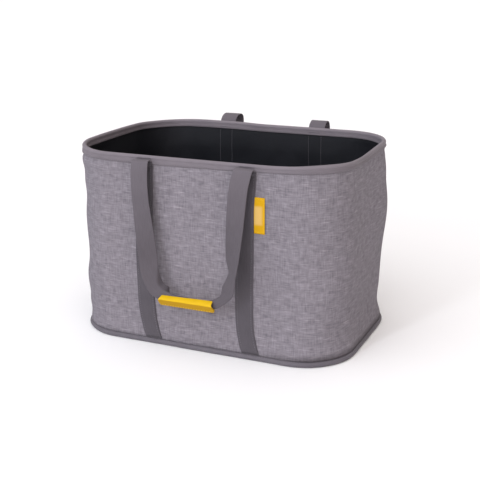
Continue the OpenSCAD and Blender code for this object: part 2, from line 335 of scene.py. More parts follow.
def stitch_row(points, facing, pitch, length, thick):
    """Verts and faces of separate stitches along a line of points: small closed spindles that
    sit half in the cloth. facing is one direction, or one for each point."""
    points = np.asarray(points, float)
    facing = np.broadcast_to(np.asarray(facing, float), points.shape)
    run = lengths(points)
    count = max(1, int(run[-1] / pitch))
    verts, faces = [], []
    for n in range(count):
        at = (n + 0.5) * run[-1] / count
        stations = np.linspace(at - length / 2, at + length / 2, 5)
        line = np.column_stack([np.interp(stations, run, points[:, k]) for k in range(3)])
        up = np.array([np.interp(at, run, facing[:, k]) for k in range(3)])
        up /= np.linalg.norm(up)
        along = line[-1] - line[0]
        along /= np.linalg.norm(along)
        side = np.cross(up, along)
        first = len(verts)
        for at_line, swell, lift in zip(line, STITCH_SWELL, STITCH_LIFT):
            for a in np.arange(6) * math.pi / 3:
                verts.append(at_line + up * lift * thick
                             + (side * math.cos(a) + up * math.sin(a)) * thick / 2 * swell)
        for k in range(4):
            for j in range(6):
                a, b = first + k * 6 + j, first + k * 6 + (j + 1) % 6
                faces.append((a, b, b + 6, a + 6))
        faces.append(tuple(first + j for j in range(5, -1, -1)))
        faces.append(tuple(first + 24 + j for j in range(6)))
    return verts, faces


def stitching(name, rows, material):
    """One piece from several rows of stitches."""
    verts, faces = [], []
    for row_verts, row_faces in rows:
        faces += [tuple(i + len(verts) for i in f) for f in row_faces]
        verts += row_verts
    count = sum(len(f) for f in faces)
    return new_mesh(name, verts, faces, np.zeros((count, 2)), material)


# ---- Materials ----


def tone(r, g, b):
    """A screen colour, 0 to 255, as the shader's own."""
    return tuple(c / 12.92 if c <= 0.04045 else ((c + 0.055) / 1.055) ** 2.4
                 for c in (r / 255, g / 255, b / 255)) + (1.0,)


def add(tree, kind, inputs=None, **settings):
    """A new node with its settings, whose inputs are values or other nodes' outputs."""
    made = tree.nodes.new(kind)
    for key, value in settings.items():
        setattr(made, key, value)
    for key, value in (inputs or {}).items():
        if isinstance(value, bpy.types.NodeSocket):
            tree.links.new(value, made.inputs[key])
        else:
            made.inputs[key].default_value = value
    return made


def material(name, rough, sheen=0.0, specular=0.3, metal=0.0):
    made = bpy.data.materials.new(name)
    made.use_nodes = True
    tree = made.node_tree
    shader = tree.nodes["Principled BSDF"]
    for key, value in (("Roughness", rough), ("Specular IOR Level", specular), ("Metallic", metal),
                       ("Sheen Weight", sheen), ("Sheen Roughness", 0.5)):
        shader.inputs[key].default_value = value
    return made, tree, shader


def cloth_uv(tree):
    return add(tree, "ShaderNodeUVMap", uv_map="cloth").outputs["UV"]


def object_place(tree):
    return add(tree, "ShaderNodeTexCoord").outputs["Object"]


def scaled(tree, vector, scale):
    return add(tree, "ShaderNodeVectorMath", {0: vector, 1: scale}, operation="MULTIPLY").outputs[0]


def noise(tree, vector, scale, detail=2.0):
    """Noise over a vector stretched by scale."""
    return add(tree, "ShaderNodeTexNoise",
               {"Vector": scaled(tree, vector, scale), "Scale": 1.0, "Detail": detail}).outputs["Fac"]


def spread(tree, value, low, high, to_low=0.0, to_high=1.0):
    """Maps a value from low..high to to_low..to_high, and holds it there."""
    return add(tree, "ShaderNodeMapRange",
               {"Value": value, "From Min": low, "From Max": high,
                "To Min": to_low, "To Max": to_high}).outputs["Result"]


def maths(tree, operation, *values):
    return add(tree, "ShaderNodeMath", dict(enumerate(values)), operation=operation).outputs[0]


def weighted(tree, *parts):
    """The sum of some values, each times its weight."""
    total = 0.0
    for value, weight in parts:
        total = maths(tree, "MULTIPLY_ADD", value, weight, total)
    return total


def mixed(tree, factor, a, b):
    return add(tree, "ShaderNodeMix", {0: factor, 6: a, 7: b}, data_type="RGBA").outputs[2]


def axes(tree, vector):
    """The x, y and z of a vector."""
    return add(tree, "ShaderNodeSeparateXYZ", {0: vector}).outputs


def plain_weave(tree, uv, pitch):
    """Height of a plain weave, from crossing threads."""
    u, v = axes(tree, scaled(tree, uv, (math.pi / pitch,) * 3))[:2]
    crossed = maths(tree, "MULTIPLY", maths(tree, "SINE", u), maths(tree, "SINE", v))
    return maths(tree, "MULTIPLY_ADD", crossed, 0.5, 0.5)


def ribs(tree, uv, pitch):
    """Height of straight ribs across u."""
    u = axes(tree, scaled(tree, uv, (2 * math.pi / pitch,) * 3))[0]
    return maths(tree, "MULTIPLY_ADD", maths(tree, "SINE", u), 0.5, 0.5)


def finish_surface(tree, shader, colour, height, distance, strength=0.6):
    tree.links.new(colour, shader.inputs["Base Color"])
    rise = add(tree, "ShaderNodeBump", {"Height": height, "Distance": distance, "Strength": strength})
    tree.links.new(rise.outputs[0], shader.inputs["Normal"])


def heather_fabric():
    """Coarse melange canvas: pale and dark slubs run along both threads of a plain weave. Painted shade
    darkens it just above the base roll, most towards the right end, and painted shade darkens and cools it
    towards the left end."""
    made, tree, shader = material("heather_fabric", 0.9, sheen=0.02, specular=0.12)
    uv = cloth_uv(tree)
    weft = spread(tree, noise(tree, uv, (60, 560, 1), 4), 0.3, 0.7)
    warp = spread(tree, noise(tree, uv, (460, 50, 1), 4), 0.3, 0.7)
    slub = spread(tree, noise(tree, uv, (34, 380, 1), 1), 0.6, 0.8)
    dark = spread(tree, noise(tree, uv, (300, 40, 1), 1), 0.62, 0.82)
    cloud = noise(tree, uv, (9, 9, 1), 2)
    mottle = spread(tree, noise(tree, uv, (70, 130, 1), 3), 0.3, 0.7)
    weave = plain_weave(tree, uv, 1.3 * MM)
    body = weighted(tree, (warp, 0.3), (weft, 0.34), (cloud, 0.12), (mottle, 0.24), (weave, 0.12))
    colour = mixed(tree, body, tone(75, 71, 77), tone(145, 139, 146))
    colour = mixed(tree, maths(tree, "MULTIPLY", slub, 0.36), colour, tone(172, 165, 170))
    colour = mixed(tree, maths(tree, "MULTIPLY", dark, 0.35), colour, tone(72, 66, 70))
    x, _, z = axes(tree, object_place(tree))
    # Painted shade: darker just above the base roll, most towards the right end, where the bulging wall
    # shades its foot
    low = spread(tree, z, BASE_TOP + 2 * MM, BASE_TOP + 13 * MM, 0.7, 0.0)
    hem = maths(tree, "MULTIPLY", low, spread(tree, x, 110 * MM, 215 * MM, 0.15, 1.0))
    colour = mixed(tree, hem, colour, tone(58, 52, 55))
    # Painted shade: a little darker and cooler towards the left end of the wall
    end = spread(tree, x, -275 * MM, -180 * MM, 0.16, 0.0)
    colour = mixed(tree, end, colour, tone(66, 68, 76))
    height = maths(tree, "MULTIPLY_ADD", slub, 0.5, maths(tree, "ADD", weave, weft))
    finish_surface(tree, shader, colour, height, 0.25 * MM)
    return made


def ribbed_tape(name, pale, deep, pitch, highlight_heights=None, highlight_gain=0.45):
    """Woven tape or webbing with fine ribs across it; between two heights, if given, a painted highlight
    makes it paler towards the upper one.
    """
    made, tree, shader = material(name, 0.7, sheen=0.05, specular=0.25)
    uv = cloth_uv(tree)
    rib = ribs(tree, uv, pitch)
    fibre = spread(tree, noise(tree, uv, (60, 600, 1), 3), 0.3, 0.7)
    cloud = noise(tree, uv, (14, 14, 1), 2)
    body = weighted(tree, (rib, 0.3), (fibre, 0.18), (cloud, 0.52))
    if highlight_heights:
        # Painted highlight: paler upwards between the two heights
        height = axes(tree, object_place(tree))[2]
        body = maths(tree, "ADD", body, spread(tree, height, *highlight_heights, 0.0, highlight_gain))
    finish_surface(tree, shader, mixed(tree, body, deep, pale),
                   maths(tree, "MULTIPLY_ADD", fibre, 0.12, rib), 0.15 * MM)
    return made


def coated_lining():
    """Near-black coated cloth with a soft shine and faint rumples."""
    made, tree, shader = material("coated_lining", 0.5, sheen=0.02, specular=0.22)
    uv = cloth_uv(tree)
    cloud = noise(tree, uv, (16, 16, 1), 3)
    weave = plain_weave(tree, uv, 0.8 * MM)
    body = weighted(tree, (cloud, 0.7), (weave, 0.25))
    rumple = maths(tree, "MULTIPLY_ADD", noise(tree, uv, (60, 34, 1), 3), 5.0, weave)
    finish_surface(tree, shader, mixed(tree, body, tone(14, 15, 19), tone(23, 24, 31)), rumple, 0.2 * MM)
    return made


def grained_leather(name, pale, deep, worn, patch=None, painted_shade_reach=None):
    """Soft coated leather: pebbled grain, a deeper tone in its hollows, paler on worn edges. A patch is a
    plain paler panel, from one cloth position to another. Its lower face, up to a given distance around the
    section, is darkened as painted shade, where it faces down."""
    made, tree, shader = material(name, 0.5, specular=0.18)
    place = object_place(tree)
    grain = add(tree, "ShaderNodeTexVoronoi", {"Vector": place, "Scale": 900.0},
                feature="DISTANCE_TO_EDGE").outputs["Distance"]
    pebble = spread(tree, grain, 0.0, 0.25)
    cloud = noise(tree, place, (45, 45, 45), 3)
    edge = spread(tree, add(tree, "ShaderNodeNewGeometry").outputs["Pointiness"], 0.52, 0.6)
    colour = mixed(tree, weighted(tree, (cloud, 0.75), (pebble, 0.25)), deep, pale)
    colour = mixed(tree, maths(tree, "MULTIPLY", edge, 0.35), colour, worn)
    if painted_shade_reach:
        # Painted shade on the lower face, which faces down, away from the light
        around_it = axes(tree, cloth_uv(tree))[1]
        below = spread(tree, around_it, painted_shade_reach - 1 * MM, painted_shade_reach + 1 * MM, 0.85, 0.0)
        colour = mixed(tree, below, colour, tone(160, 120, 2))
    if patch:
        at = axes(tree, cloth_uv(tree))
        inside = 0.8
        for axis, (low, high) in enumerate(patch):
            rise = spread(tree, at[axis], low, low + 4 * MM)
            fall = spread(tree, at[axis], high - 4 * MM, high, 1.0, 0.0)
            inside = maths(tree, "MULTIPLY", maths(tree, "MULTIPLY", rise, fall), inside)
        colour = mixed(tree, inside, colour, tone(205, 170, 102))
    finish_surface(tree, shader, colour, pebble, 0.12 * MM, 0.4)
    return made


def one_grain(name, pale, deep, scale, detail, relief, strength=0.6, place=object_place, **look):
    """A surface whose one noise gives both its tone and its relief."""
    made, tree, shader = material(name, **look)
    grain = noise(tree, place(tree), scale, detail)
    finish_surface(tree, shader, mixed(tree, grain, deep, pale), grain, relief, strength)
    return made


def thread(name, pale, deep):
    return one_grain(name, pale, deep, (1500, 1500, 1500), 2, 0.05 * MM, rough=0.6, sheen=0.2)


def brushed_metal(name, pale, deep, rough):
    return one_grain(name, pale, deep, (40, 900, 900), 3, 0.03 * MM, 0.3, rough=rough, metal=1.0,
                     specular=0.5)


def pressed_board():
    """Dense fibre board: flecks over a faint grain."""
    made, tree, shader = material("base_board", 0.8)
    place = object_place(tree)
    fleck = spread(tree, noise(tree, place, (700, 250, 700), 4), 0.35, 0.65)
    finish_surface(tree, shader, mixed(tree, fleck, tone(96, 82, 66), tone(140, 122, 100)), fleck, 0.1 * MM)
    return made


HEATHER = heather_fabric()
# Painted highlights: the rim tape is paler towards the top of its bead, and the handle webbing paler towards
# its crest near the rim
BINDING = ribbed_tape("binding_tape", tone(123, 116, 122), tone(84, 78, 84), 1.6 * MM,
                      highlight_heights=(RIM_Z - 10 * MM, RIM_Z - 4 * MM), highlight_gain=0.34)
WEBBING = ribbed_tape("webbing", tone(96, 90, 96), tone(65, 60, 65), 1.4 * MM,
                      highlight_heights=(RIM_Z - 110 * MM, RIM_Z - 14 * MM))
# A darker copy of the webbing for the sewn straps: painted shade, for the shade the hanging legs cast on
# them
SHADED_SEWN_WEBBING = ribbed_tape("sewn_webbing_painted_shade", tone(90, 85, 91), tone(59, 55, 60), 1.4 * MM)
FOOT = ribbed_tape("base_tape", tone(112, 107, 114), tone(74, 70, 76), 1.6 * MM)
LINING = coated_lining()
# The grip's lower face is darkened as painted shade
LEATHER = grained_leather("yellow_grip", tone(214, 176, 12), tone(196, 154, 4), tone(226, 190, 40),
                          painted_shade_reach=12.8 * MM)
LABEL_LOW, LABEL_HIGH = extent("label_tab")
LABEL_W = LABEL_HIGH[0] - LABEL_LOW[0]
# The label's plain paler patch: from one place to another up the cloth, and around it
LABEL_PATCH = ((float(LABEL_LOW[2] + 15 * MM), float(LABEL_HIGH[2] - 15 * MM)),
               (float(-0.1 * LABEL_W), float(0.6 * LABEL_W)))
LABEL = grained_leather("label_leather", tone(204, 158, 2), tone(188, 140, 1), tone(212, 172, 24),
                        patch=LABEL_PATCH)
GREY_THREAD = thread("grey_thread", tone(135, 130, 137), tone(90, 86, 92))
DARK_THREAD = thread("dark_thread", tone(62, 58, 64), tone(34, 32, 36))
YELLOW_THREAD = thread("yellow_thread", tone(250, 210, 50), tone(205, 155, 10))
STEEL = brushed_metal("hoop_wire", tone(200, 200, 204), tone(150, 151, 156), 0.35)
CRIMP = brushed_metal("ferrule", tone(170, 168, 165), tone(120, 119, 118), 0.5)
BOARD = pressed_board()
FELT = one_grain("interlining", tone(240, 238, 234), tone(205, 203, 198), (700, 700, 1), 5, 0.2 * MM,
                 place=cloth_uv, rough=0.95, sheen=0.4)


# ---- Walls ----

# The wall ends inside the rim tape
WALL_HEAD = RIM_Z - 9.8 * MM
WALL_LEVELS = np.concatenate([
    np.linspace(WALL_BOTTOM, 30 * MM, 6), np.linspace(30 * MM, 300 * MM, 40)[1:],
    np.linspace(300 * MM, WALL_HEAD, 17)[1:]])
OUTER_T, FELT_T, LINING_T, PLY_GAP = 1.2 * MM, 1.6 * MM, 0.8 * MM, 0.2 * MM


def fold_with_wall(piece):
    """A piece on the wall: it rides with the rim."""
    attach(piece, "upper")
    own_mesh(piece)
    return piece


def stand_for(piece, slot, *nodes):
    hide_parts(*nodes)
    return piece


def wall_ply(name, node, slot, depth, t, cloth):
    """One ply of the wall, t thick, at a depth behind the outer face."""
    section = [(z, depth) for z in WALL_LEVELS] + [(z, depth + t) for z in WALL_LEVELS[::-1]]
    grid = np.empty((len(TURN), len(section), 3))
    for j, (z, inside) in enumerate(section):
        grid[:, j] = ring_at(z, wall_out(TURN, z) - inside)
        grid[:, j, 2] += 0.8 * np.minimum(RISE, 0) * smooth(z, WALL_HEAD - 27 * MM, WALL_HEAD)
    v = [z for z, _ in section] + [section[0][0]]
    made = stand_for(fold_with_wall(swept(name, grid, AROUND, v, cloth, True)), slot, node)
    girth = float(around(RIM_Z / 2)[-1])


def build_walls():
    wall_ply("outer_wall_cloth", "outer_wall", "heather_fabric", 0, OUTER_T, HEATHER)
    depth = OUTER_T + PLY_GAP
    wall_ply("wall_felt", "wall_interlining", "interlining", depth, FELT_T, FELT)
    depth += FELT_T + PLY_GAP
    wall_ply("lining_cloth", "lining_wall", "coated_lining", depth, LINING_T, LINING)


# ---- Bindings and their stitching ----

WIRE_R = 2 * MM
RIM_SEAM_Z = TAPE_BOTTOM + 3 * MM
# Pitch, length and thickness of the stitches of the rim's seams and of the straps' seams
RIM_STITCH = (4.2 * MM, 3.4 * MM, 0.5 * MM)
STRAP_STITCH = (4.4 * MM, 3.5 * MM, 0.5 * MM)
# The inner band of the rim tape, as a distance out
INNER_TAPE = -6.4 * MM
# Half the width of the roll around the base wire
ROLL_W = 4.9 * MM


def rim_binding():
    """Tape rolled over the rim wire: a bead, pinched below, with a band on each side of the wall.
    The inner band has a crease, and flares below it."""
    turn = np.radians(np.linspace(-28, 208, 17))
    r = BEAD_R - TAPE_T / 2
    bead = np.column_stack([-BEAD_R + r * np.cos(turn), RIM_Z - BEAD_R + r * np.sin(turn)])
    outer = np.array([(-1.1, 0.3), (-0.6, 1.6), (-0.2, 3.8), (-0.2, 7), (-0.7, 9.6), (-1.2, 10.8)]) * MM
    inner = np.array([(-0.7, 10.8), (-0.6, 9.8), (-0.7, 8.8), (-1.0, 7.8), (-1.3, 6.6), (-1.6, 5.4),
                      (-1.5, 4.2)]) * MM
    line = np.concatenate([outer + [0, TAPE_BOTTOM], bead, inner + [INNER_TAPE - 0.4 * MM, TAPE_BOTTOM]])
    section = thick_line(line, TAPE_T)
    low = smooth(RIM_Z - 8 * MM - section[:, 1], 0, 9 * MM)[:, None]
    out = 0.35 * MM * np.sin(9 * ROUND + 0.5) * low + 0.2 * MM * np.sin(31 * ROUND) * low
    up = 0.25 * MM * np.sin(6 * ROUND + 2) * low + np.array([rim_lift(*p) for p in section])
    made = hoop("rim_tape", section, BINDING, out, up)
    stand_for(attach(made, "upper"), "binding_tape", "rim_binding")


def rim_wire():
    """The spring wire inside the bead, which sags with it."""
    turn = np.arange(12) * math.pi / 6
    section = np.column_stack([-BEAD_R + WIRE_R * np.cos(turn), RIM_Z - BEAD_R + WIRE_R * np.sin(turn)])
    made = hoop("rim_spring_wire", section, STEEL, 0, RISE)
    stand_for(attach(made, "upper"), "hoop_wire", "rim_wire")


def hoop_stitches(z, out, pitch, length, thick, up=0.0, lift=0.0):
    """A row of stitches around the basket; up tilts it towards the top."""
    points, away = ring(z)
    points = np.column_stack([points + away * out, np.full(len(points), z) + lift])
    away = np.column_stack([away, np.full(len(away), up)]) * np.sign(out or 1)
    closed = np.concatenate([points, points[:1]]), np.concatenate([away, away[:1]])
    return stitch_row(*closed, pitch, length, thick)


def rim_stitching():
    inner_z = RIM_SEAM_Z + 3.5 * MM
    rows = [hoop_stitches(RIM_SEAM_Z, 0.4 * MM, *RIM_STITCH, lift=rim_lift(0, RIM_SEAM_Z)),
            hoop_stitches(inner_z, INNER_TAPE - 2.4 * MM, *RIM_STITCH, lift=rim_lift(INNER_TAPE, inner_z))]
    made = stitching("rim_seam", rows, GREY_THREAD)
    stand_for(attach(made, "upper"), "grey_thread", "rim_binding_stitching")


def base_binding():
    """A firm roll of tape around the base wire, which flares beyond the wall."""
    turn = np.radians(np.linspace(-158, 158, 25))
    half_h = BASE_TOP / 2 - TAPE_T / 2
    half_w = ROLL_W - TAPE_T / 2
    line = np.column_stack([half_w * np.cos(turn) - ROLL_W, half_h * np.sin(turn) + BASE_TOP / 2])
    out = 0.3 * MM * np.sin(8 * ROUND + 1) + 0.2 * MM * np.sin(27 * ROUND + 2)
    made = hoop("base_roll", thick_line(line, TAPE_T), FOOT, out, 0)
    stand_for(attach(made, "base"), "binding_tape", "base_binding")


def base_stitching():
    rows = [hoop_stitches(BASE_TOP - 1.1 * MM, -2.2 * MM, 4.6 * MM, 3.6 * MM, 0.5 * MM, up=-1.5)]
    made = stitching("base_seam", rows, GREY_THREAD)
    stand_for(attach(made, "base"), "grey_thread", "base_binding_stitching")


# ---- Base panels ----


def panel(name, node, slot, cloth, relief):
    """A soft flat panel with rounded corners in the place of its CAD node."""
    low, high = extent(node)
    a, b = high[0], (high[1] - low[1]) / 2
    r = BASE_CORNER - (BASE_HIGH[0] - a)
    x = np.concatenate([a - r + r * np.cos(np.linspace(0, math.pi / 2, 14)), np.linspace(a - r, 0, 16)[1:]])
    x = np.concatenate([x, -x[-2::-1]])
    half = b - r + np.sqrt(np.maximum(r * r - np.maximum(abs(x) - (a - r), 0) ** 2, 0))
    share = np.linspace(-1, 1, 25)
    rows = []
    for x0, w in zip(x, half):
        y = share * w
        edge = smooth(1 - np.maximum(abs(share), abs(x0) / a), 0, 0.25)
        lift = relief(x0, y) * edge
        line = np.full(len(y), x0)
        top = np.column_stack([line, y, high[2] - 0.3 * MM + lift])
        bottom = np.column_stack([line, y, low[2] + 0.3 * MM + lift])
        rows.append(np.concatenate([top, bottom[::-1]]))
    section = np.concatenate([share, share[::-1], share[:1]]) * b
    made = swept(name, np.array(rows), a - x, section, cloth, False)
    stand_for(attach(made, "base"), slot, node)


def build_base_panels():
    def inside(x, y):
        return MM * (0.5 + 0.5 * np.sin(31 * x + 1) * np.sin(27 * y) + 0.3 * np.sin(90 * x + 40 * y))

    def below(x, y):
        return MM * 0.15 * np.sin(25 * x) * np.sin(30 * y + 1)

    panel("base_lining_cloth", "base_lining_panel", "coated_lining", LINING, inside)
    panel("base_outer_cloth", "base_outer_panel", "heather_fabric", HEATHER, below)


# ---- Straps sewn to the walls ----

# A strap's clearance from the wall and from the rim tape, and the height of its foot
STRAP_GAP = 0.45 * MM
STRAP_MID = STRAP_GAP + STRAP_T / 2
STRAP_BOTTOM = BASE_TOP + 1.2 * MM
OVER_TAPE = 0.75 * MM


def line_through(points, count):
    """A smooth line through chosen points, evenly spread along it."""
    p = np.asarray(points, float)
    p = np.concatenate([2 * p[:1] - p[1:2], p, 2 * p[-1:] - p[-2:-1]])
    out = []
    for i in range(1, len(p) - 2):
        t = np.linspace(0, 1, 24, endpoint=i == len(p) - 3)[:, None]
        a, b, c, d = p[i - 1:i + 3]
        out.append(0.5 * (2 * b + (c - a) * t + (2 * a - 5 * b + 4 * c - d) * t ** 2
                          + (3 * b - a - 3 * c + d) * t ** 3))
    line = np.concatenate(out)
    run = lengths(line)
    at = np.linspace(0, run[-1], count)
    return np.column_stack([np.interp(at, run, line[:, k]) for k in range(line.shape[1])])


# Height at which a strap's middle is taken for what sits at the rim
STRAP_HEAD = 345 * MM
# Middle of each strap by height, in mm: the front ones sway near the base
SWAY = {
    FRONT: {"left": [(-86.5, 11), (-93.5, 30), (-99, 52), (-101, 85), (-100, 180), (-96, 270), (-93, 345)],
            "right": [(105.5, 11), (99, 30), (94, 52), (92.5, 85), (95, 180), (97, 270), (102.5, 345)]},
    BACK: {"left": [(-94, 11), (-97, 100), (-97, 230), (-96, 345)],
           "right": [(95, 11), (97, 100), (98, 230), (97, 345)]},
}


def strap_centre(side, name, z):
    line = line_through(np.array(SWAY[side][name]) * MM, 80)
    return float(np.interp(z, line[:, 1], line[:, 0]))


def strap_y(x, z, side, lift):
    """As face_y, for a face lift above the wall, or above the rim tape higher up."""
    over = float(smooth(z, TAPE_BOTTOM - 7 * MM, TAPE_BOTTOM - 0.5 * MM))
    out = (1 - over) * wall_out(TURN, z) + over * OVER_TAPE
    return long_side_y(x, z, side, out + lift)


def strap_frame(side, name, z, lift):
    """Centre, inner-edge and outward directions of a strap at height z."""
    x = strap_centre(side, name, z)
    ends = [strap_y(x + s * STRAP_W / 2, z, side, lift) for s in (-1, 1)]
    across = Vector((STRAP_W, ends[1] - ends[0], 0)).normalized()
    facing = Vector((-across.y, across.x, 0)) * side
    return (x, sum(ends) / 2, z), across, facing


def strap_line(side, name, heights, lift):
    """The same at several heights, as three arrays."""
    frames = [strap_frame(side, name, z, lift) for z in heights]
    return (np.array([f[k] for f in frames]) for k in range(3))


def sewn_strap(side, name, top):
    heights = np.concatenate([np.linspace(STRAP_BOTTOM, TAPE_BOTTOM - 8 * MM, 60),
                              np.linspace(TAPE_BOTTOM - 8 * MM, top, 12)[1:]])
    centre, across, facing = strap_line(side, name, heights, STRAP_MID)
    # The lower end turns in a little, towards the foot of the wall
    tuck = smooth(STRAP_BOTTOM + 7 * MM - heights, 0, 7 * MM)
    centre = centre - facing * (tuck * 1.2 * MM)[:, None]
    word = f"{WORD[side]}_{name}_"
    made = ribbon(word + "strap", centre, across, facing, STRAP_W, STRAP_T, SHADED_SEWN_WEBBING)
    stand_for(fold_with_wall(made), "webbing", word + "sewn_strap")


SEAM_OFFSETS = (-(STRAP_W / 2 - 3 * MM), STRAP_W / 2 - 3 * MM)


def strap_rows(side, name):
    """The seams near both edges of a strap."""
    heights = np.arange(24 * MM, TAPE_BOTTOM - 8 * MM, 5 * MM)
    centre, across, facing = strap_line(side, name, heights, STRAP_GAP + STRAP_T)
    return [stitch_row(centre + across * offset, facing, *STRAP_STITCH) for offset in SEAM_OFFSETS]


def lining_rows(side, name):
    """The same seams where they come through the lining."""
    rows = []
    depth = OUTER_T + FELT_T + LINING_T + 2 * PLY_GAP
    heights = np.arange(30 * MM, TAPE_BOTTOM + 6 * MM, 5 * MM)
    for offset in SEAM_OFFSETS:
        xs = [strap_centre(side, name, z) + offset for z in heights]
        line = [(x, face_y(x, z, side) - side * depth, z) for x, z in zip(xs, heights)]
        rows.append(stitch_row(line, (0, -side, 0), *STRAP_STITCH[:2], 0.6 * MM))
    return rows


def strap_stitching(side):
    rows = []
    for name in HANDS:
        rows += strap_rows(side, name) + lining_rows(side, name)
    made = stitching(WORD[side] + "_strap_seam", rows, GREY_THREAD)
    stand_for(fold_with_wall(made), "grey_thread", WORD[side] + "_strap_stitching")


def bar_tacks():
    """Close dark stitching that holds each strap below the rim and at its foot; the row at the foot also
    serves as painted shade of the strap's turned-in end.
    """
    rows = []
    for side in (FRONT, BACK):
        for name in HANDS:
            # The last row, at the strap's foot, is dark stitching that also serves as painted shade of the
            # turned-in end
            for z, reach, sunk in ((TAPE_BOTTOM - 14 * MM, 11 * MM, 0), (TAPE_BOTTOM - 10 * MM, 11 * MM, 0),
                                   (STRAP_BOTTOM + 2.4 * MM, 14 * MM, 0.85 * MM)):
                centre, across, facing = strap_frame(side, name, z, STRAP_GAP + STRAP_T - sunk)
                ends = [np.array(centre) + np.array(across) * s * reach for s in (-1, 1)]
                rows.append(stitch_row(np.linspace(*ends, 8), facing, 0.9 * MM, 2.2 * MM, 0.6 * MM))
    made = stitching("strap_tacks", rows, DARK_THREAD)
    stand_for(fold_with_wall(made), "grey_thread", "strap_bar_tacks")


def rim_tacks():
    """Dark bars of stitching through the rim tape: above the front folds, and inside at the back."""
    rows = []
    for name in HANDS:
        x = strap_centre(FRONT, name, STRAP_HEAD)
        xs = np.linspace(x - 14 * MM, x + 14 * MM, 8)
        y = [strap_y(v, TAPE_BOTTOM + 11 * MM, FRONT, 0.0) + 0.8 * MM for v in xs]
        points = [(v, w, TAPE_BOTTOM + 13.2 * MM + FRONT_SAG) for v, w in zip(xs, y)]
        rows.append(stitch_row(points, (0, -1, 0.3), 1.6 * MM, 2.2 * MM, 0.7 * MM))
        x = strap_centre(BACK, name, STRAP_HEAD)
        for z in (TAPE_BOTTOM + 6 * MM, TAPE_BOTTOM + 8.5 * MM):
            xs = np.linspace(x - 12 * MM, x + 12 * MM, 8)
            points = [(v, strap_y(v, z, BACK, 0.0) - 9.2 * MM, z) for v in xs]
            rows.append(stitch_row(points, (0, -1, 0.2), 1.2 * MM, 2.4 * MM, 0.7 * MM))
    made = stitching("rim_tacks", rows, DARK_THREAD)
    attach(made, "upper")


def build_straps():
    fold_z = {FRONT: swing(FRONT)[2], BACK: TAPE_BOTTOM + 2 * MM}
    for side in (FRONT, BACK):
        for name in HANDS:
            sewn_strap(side, name, fold_z[side])
        strap_stitching(side)
    bar_tacks()
    rim_tacks()


# ---- Label ----


def label_free(share, z):
    """How far the label's right part stands off the wall, by share of half its width."""
    return 1.1 * MM * smooth(share, 0.2, 1) * (0.7 + 0.3 * math.sin(60 * z))


def build_label():
    """A folded tab on the front wall; its free right edge stands a little proud."""
    low, high = LABEL_LOW + [1.2 * MM, 0, 1.6 * MM], LABEL_HIGH - [2 * MM, 0, 1.6 * MM]
    x, w = (low[0] + high[0]) / 2, high[0] - low[0]
    heights = np.linspace(low[2], high[2], 24)
    s = np.linspace(-1, 1, 11)
    xs = x + s * w / 2
    rows = []
    for z in heights:
        y = np.array([face_y(v, z, FRONT) for v in xs]) - 1.0 * MM - label_free(s, z)
        line = np.column_stack([xs, -y])
        section = thick_line(line, 1.1 * MM)
        rows.append(np.column_stack([section[:, 0], -section[:, 1], np.full(len(section), z)]))
    section = np.linspace(0, 2 * w, len(rows[0]) + 1)
    made = swept("label", np.array(rows), heights, section, LABEL, False)
    stand_for(fold_with_wall(made), "yellow_grip", "label_tab")
    rows = []
    for z in (low[2] + 3 * MM, high[2] - 3 * MM):
        xs = np.linspace(x - w / 2 + 2 * MM, x + w / 2 - 2 * MM, 12)
        free = label_free((xs - x) / (w / 2), z)
        points = [(v, face_y(v, z, FRONT) - 1.65 * MM - f, z) for v, f in zip(xs, free)]
        rows.append(stitch_row(points, (0, -1, 0), 2.4 * MM, 1.9 * MM, 0.45 * MM))
    made = stitching("label_seam", rows, YELLOW_THREAD)
    stand_for(fold_with_wall(made), "yellow_thread", "label_stitching")


# ---- Handles ----

HANDLE_DROP = 239 * MM
GRIP_LEN = 108 * MM
# Middle of each leg as it hangs, in mm: distance from the middle, and drop below the fold
LEGS = {
    FRONT: {"left": [(-94, 0), (-95, 20), (-93.3, 56), (-88.5, 92), (-83, 128), (-77.5, 161), (-76, 180),
                     (-71, 199), (-62.5, 217), (-51, 229), (-39, 235), (-26, 238)],
            "right": [(100, 0), (96.5, 9), (92.6, 34), (90, 62), (88, 95), (85.7, 130), (84.7, 155),
                      (85.5, 178), (81, 196), (76.5, 209), (70.5, 220), (62.5, 229.5), (53, 235),
                      (43, 237.5), (32, 238.5)]},
    BACK: {"left": [(-96, 0), (-92, 40), (-88, 90), (-84, 140), (-77, 185), (-66, 212), (-54, 229),
                    (-34, 238)],
           "right": [(97, 0), (93, 40), (89, 90), (85, 140), (78, 185), (67, 212), (55, 229), (34, 238)]},
}
# How far the hanging webbing is from the hinge line, and how many of a leg's points the fold covers
DEPTH = {FRONT: 5.2 * MM, BACK: 16 * MM}
COVERED = {FRONT: 3, BACK: 5}
# Heights at which the front folds leave the straps, and of the webbing's middle line at their top
FRONT_LEAVE, FRONT_CREST = 341 * MM, 344.9 * MM
# How far each handle hangs outwards from straight down
HANG = {FRONT: math.radians(3.6), BACK: math.radians(-2.5)}
# Turn of each front leg about its own line: drops in mm, and degrees
FRONT_TWIST = {
    "left": ([0, 40, 70, 101, 131, 164, 182, 199, 225, 240],
             [2, 3, 2, -6, -15, -23, -19, -17, -6, 0]),
    "right": ([0, 62, 95, 130, 155, 177, 188, 203, 218, 230, 240],
              [-4, -2, 6, 17, 28, 47, 42, 32, 22, 10, 0]),
}


def swing(side):
    """The hinge line's place of one side's handle."""
    return joint(WORD[side] + "_handle_swing")["pos_m"]


def handle_point(side, x, drop, depth):
    """A point in a hanging handle's plane: depth is out from the hinge line."""
    hinge, lean = swing(side), HANG[side]
    return np.array([x, hinge[1] + side * (depth * math.cos(lean) + drop * math.sin(lean)),
                     hinge[2] - drop * math.cos(lean) + depth * math.sin(lean)])


